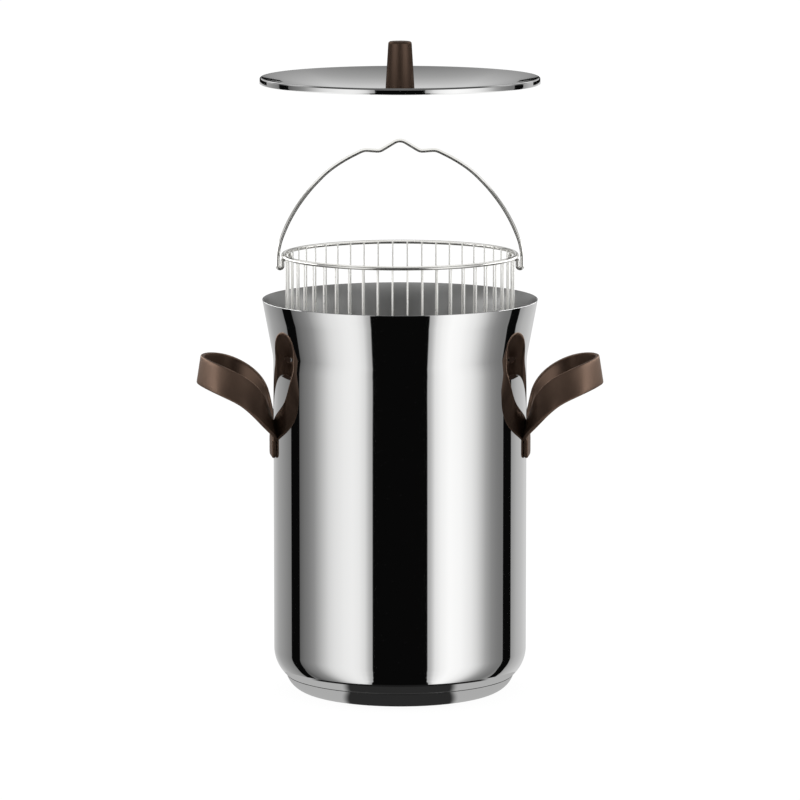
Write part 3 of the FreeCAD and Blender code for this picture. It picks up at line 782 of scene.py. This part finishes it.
# A dark strip close to the lid on either side, for the upper edge of its rim.
for side in (-1, 1):
    strip = []
    for i in range(13):
        a = math.radians(64.0 + (104.0 - 64.0) * i / 12)
        for z in (0.402, 0.500):
            strip.append((side * 0.125 * math.sin(a), -0.125 * math.cos(a), z))
    rnt, rout = glossy_card("rim_strip", strip, [(2 * i, 2 * i + 2, 2 * i + 3, 2 * i + 1) for i in range(12)])
    r_light = rnt.nodes.new("ShaderNodeEmission")
    r_light.inputs["Strength"].default_value = lin(48) * K
    rtc = rnt.nodes.new("ShaderNodeTexCoord")
    rsep = rnt.nodes.new("ShaderNodeSeparateXYZ")
    rnt.links.new(rtc.outputs["Object"], rsep.inputs[0])
    r_az = math_node(rnt, "ARCTAN2", math_node(rnt, "ABSOLUTE", rsep.outputs["X"]),
                     math_node(rnt, "MULTIPLY", rsep.outputs["Y"], -1.0))
    r_clear = rnt.nodes.new("ShaderNodeBsdfTransparent")
    r_mix = rnt.nodes.new("ShaderNodeMixShader")
    r_ends = math_node(rnt, "MULTIPLY", between(rnt, r_az, math.radians(64.0), math.radians(88.0)),
                       between(rnt, r_az, math.radians(104.0), math.radians(88.0)))
    rnt.links.new(math_node(rnt, "MULTIPLY", r_ends, between(rnt, rsep.outputs["Z"], 0.500, 0.440)),
                  r_mix.inputs["Fac"])
    rnt.links.new(r_clear.outputs["BSDF"], r_mix.inputs[1])
    rnt.links.new(r_light.outputs["Emission"], r_mix.inputs[2])
    rnt.links.new(r_mix.outputs["Shader"], rout.inputs["Surface"])
# Painted shadow in the reflection: dark under the pot towards the front, grey at the sides, and on the outer ring dark
# at the front, light further round.
side_light = between(cnt, c_az, math.radians(29.0), math.radians(35.0), lin(42) * K, lin(172) * K)
inside = between(cnt, c_r, 0.0806, 0.0814, 1.0, 0.0)
edge_light = between(cnt, c_az, math.radians(50.0), math.radians(60.0), lin(28) * K, lin(172) * K)
outside = math_node(cnt, "MULTIPLY", math_node(cnt, "SUBTRACT", 1.0, inside), edge_light)
cnt.links.new(math_node(cnt, "ADD", math_node(cnt, "MULTIPLY", side_light, inside), outside),
              card_light.inputs["Strength"])

# Under the lid: a light card that the basket's wires see from below.
bnt, bout = glossy_card("basket_card", [(-0.13, -0.13, 0.3695), (0.13, -0.13, 0.3695), (0.13, 0.12, 0.3695), (-0.13, 0.12, 0.3695)],
                        [(0, 1, 2, 3)])
b_light = bnt.nodes.new("ShaderNodeEmission")
b_light.inputs["Strength"].default_value = 0.95
bnt.links.new(b_light.outputs["Emission"], bout.inputs["Surface"])

# Behind each handle, just above what the wall reflects: a light card.
for side in (-1, 1):
    arc_card = []
    for i in range(15):
        a = math.radians(72.0 + (170.0 - 72.0) * i / 14)
        for z in (0.228, 0.315):
            arc_card.append((side * (0.124 + 0.16 * math.sin(a)), -0.01 - 0.16 * math.cos(a), z))
    hnt, hout = glossy_card("handle_card", arc_card, [(2 * i, 2 * i + 2, 2 * i + 3, 2 * i + 1) for i in range(14)])
    h_light = hnt.nodes.new("ShaderNodeEmission")
    h_light.inputs["Strength"].default_value = 2.55
    hnt.links.new(h_light.outputs["Emission"], hout.inputs["Surface"])
    # A brown card under the outer end of the loop, seen only in the steel: painted shade where the wall reflects the
    # inside of the loop.
    shade = [(side * x * MM, y * MM, z * MM) for x, y, z in
             ((118.0, -19.0, 195.8), (126.0, -8.0, 197.0), (126.0, 8.0, 197.0), (118.0, 19.0, 195.8))]
    unt, uout = glossy_card("loop_shade", shade, [(0, 1, 2, 3)])
    u_light = unt.nodes.new("ShaderNodeEmission")
    u_light.inputs["Color"].default_value = (0.019, 0.012, 0.009, 1.0)
    unt.links.new(u_light.outputs["Emission"], uout.inputs["Surface"])

# --------------------------------------------------------------------- world
# Studio round the pot: a black flag in front, two broad white panels that fall
# off to grey at the sides, narrow black edges, grey cloth behind and above.
world = bpy.data.worlds.new("studio")
scene.world = world
world.use_nodes = True
world.cycles.sampling_method = "NONE"
wnt = world.node_tree
wnt.nodes.clear()
wout = wnt.nodes.new("ShaderNodeOutputWorld")
tc = wnt.nodes.new("ShaderNodeTexCoord")
sep = wnt.nodes.new("ShaderNodeSeparateXYZ")
wnt.links.new(tc.outputs["Generated"], sep.inputs[0])

azimuth = math_node(wnt, "ARCTAN2", sep.outputs["X"],
                    math_node(wnt, "MULTIPLY", sep.outputs["Y"], -1.0))      # 0 towards the front
az01 = math_node(wnt, "ADD", math_node(wnt, "DIVIDE", azimuth, 2 * math.pi), 0.5)
elev = math_node(wnt, "ARCSINE", sep.outputs["Z"])
el01 = math_node(wnt, "ADD", math_node(wnt, "DIVIDE", elev, math.pi), 0.5)
abs_az = math_node(wnt, "DIVIDE", math_node(wnt, "ABSOLUTE", azimuth), math.pi)   # 0..1 for 0..180


def stop(deg, v):
    return (deg / 360.0 + 0.5, grey(lin(v) * K))


def level(deg, v):
    return (deg / 180.0 + 0.5, grey(v))


panels = ramp(wnt, az01, [
    stop(-180, 200), stop(-169, 196), stop(-146, 158), stop(-133, 142), stop(-122, 125),
    stop(-106, 83), stop(-98, 109), stop(-92, 121), stop(-85, 140), stop(-79, 168), stop(-73, 192),
    stop(-68, 210), stop(-62, 222), stop(-52, 233), stop(-42, 238), stop(0, 240),
    stop(38, 247), stop(47, 251), stop(57, 246), stop(68, 229), stop(74, 211), stop(79, 190),
    stop(85, 159), stop(92, 134), stop(99, 120), stop(106, 112), stop(124, 150), stop(133, 172),
    stop(146, 186), stop(159, 200), stop(180, 200),
])
# half width of the black flag in front, in parts of 180 degrees
flag = ramp(wnt, el01, [
    level(-90, 150 / 180), level(-72, 150 / 180), level(-70, 90 / 180), level(-67, 47 / 180),
    level(-54, 33 / 180), level(-41, 28 / 180), level(-25, 25.3 / 180), level(-8.0, 24.5 / 180),
    level(-5.0, 20.0 / 180), level(90, 24.0 / 180),
])
past = math_node(wnt, "SUBTRACT", abs_az, flag)
flag_mask = ramp(wnt, math_node(wnt, "MULTIPLY", past, 9.0), [
    (0.0, grey(0.0)), (0.03, grey(0.40)), (0.175, grey(0.52)), (0.375, grey(0.80)),
    (0.65, grey(0.94)), (1.0, grey(1.0)),
])
# middle of the narrow black edges at the sides
edge_mid = ramp(wnt, el01, [
    level(-90, 128 / 180), level(-64, 127 / 180), level(-51, 123 / 180), level(-43, 120 / 180),
    level(-33, 115.5 / 180), level(-27, 112.5 / 180), level(-10, 111 / 180), level(90, 111 / 180),
])
right_side = between(wnt, azimuth, -0.1, 0.1, 0.0, 4.0 / 180)
from_edge = math_node(wnt, "ABSOLUTE", math_node(wnt, "SUBTRACT", math_node(wnt, "SUBTRACT", abs_az, edge_mid),
                                                 right_side))
edge_mask = between(wnt, from_edge, 6.3 / 180, 7.2 / 180)
lit = math_node(wnt, "MULTIPLY", math_node(wnt, "MULTIPLY", panels, flag_mask), edge_mask)
bands = math_node(wnt, "ADD", lit, lin(8) * K)

# Overhead: grey cloth, darkest halfway up and lighter right above the pot.
over = ramp(wnt, el01, [
    level(0, lin(205) * K), level(8, lin(190) * K), level(20, lin(140) * K),
    level(31, lin(98) * K), level(38, lin(52) * K), level(50, lin(46) * K),
    level(64, lin(78) * K), level(80, lin(128) * K), level(90, lin(165) * K),
])
high = between(wnt, elev, math.radians(6.0), math.radians(18.0))
behind = between(wnt, sep.outputs["Y"], 0.35, 0.75)
up = between(wnt, elev, math.radians(-3.0), math.radians(3.0))
weight = math_node(wnt, "MAXIMUM", high, math_node(wnt, "MULTIPLY", behind, up))
room = math_node(wnt, "ADD", math_node(wnt, "MULTIPLY", bands, math_node(wnt, "SUBTRACT", 1.0, weight)),
                 math_node(wnt, "MULTIPLY", over, weight))

# Two raised softboxes behind the pot, one each side.
box_az = math_node(wnt, "MULTIPLY", between(wnt, abs_az, 94 / 180, 112 / 180),
                   between(wnt, abs_az, 172 / 180, 152 / 180))
box_el = math_node(wnt, "MULTIPLY", between(wnt, elev, math.radians(14.0), math.radians(24.0)),
                   between(wnt, elev, math.radians(54.0), math.radians(44.0)))
studio = math_node(wnt, "ADD", room, math_node(wnt, "MULTIPLY", math_node(wnt, "MULTIPLY", box_az, box_el), 0.75))

bg_studio = wnt.nodes.new("ShaderNodeBackground")
bg_studio.inputs["Color"].default_value = (1, 1, 1, 1)
bg_white = wnt.nodes.new("ShaderNodeBackground")
bg_white.inputs["Color"].default_value = (1, 1, 1, 1)
bg_white.inputs["Strength"].default_value = 1.0
path_node = wnt.nodes.new("ShaderNodeLightPath")
# The second and later reflections see a darker room.
later = between(wnt, path_node.outputs["Ray Depth"], 2.4, 2.6, 1.0, 0.42)
wnt.links.new(math_node(wnt, "MULTIPLY", studio, later), bg_studio.inputs["Strength"])
wnt.links.new(later, bg_white.inputs["Strength"])
soft = math_node(wnt, "MAXIMUM", path_node.outputs["Is Camera Ray"], path_node.outputs["Is Diffuse Ray"])
mix_shader = wnt.nodes.new("ShaderNodeMixShader")
wnt.links.new(soft, mix_shader.inputs["Fac"])
wnt.links.new(bg_studio.outputs["Background"], mix_shader.inputs[1])
wnt.links.new(bg_white.outputs["Background"], mix_shader.inputs[2])
wnt.links.new(mix_shader.outputs["Shader"], wout.inputs["Surface"])

# -------------------------------------------------------------------- camera
cam_data = bpy.data.cameras.new("camera")
cam_data.sensor_width = 36.0
cam_data.lens = 5432.0 / 800.0 * 36.0
cam_data.clip_start = 0.05
cam_data.clip_end = 200.0
cam = bpy.data.objects.new("camera", cam_data)
cam.location = (0.0, -3.4, 0.6697)
cam.rotation_euler = (math.pi / 2 - 0.14148, 0.0, 0.0)
scene.collection.objects.link(cam)
scene.camera = cam
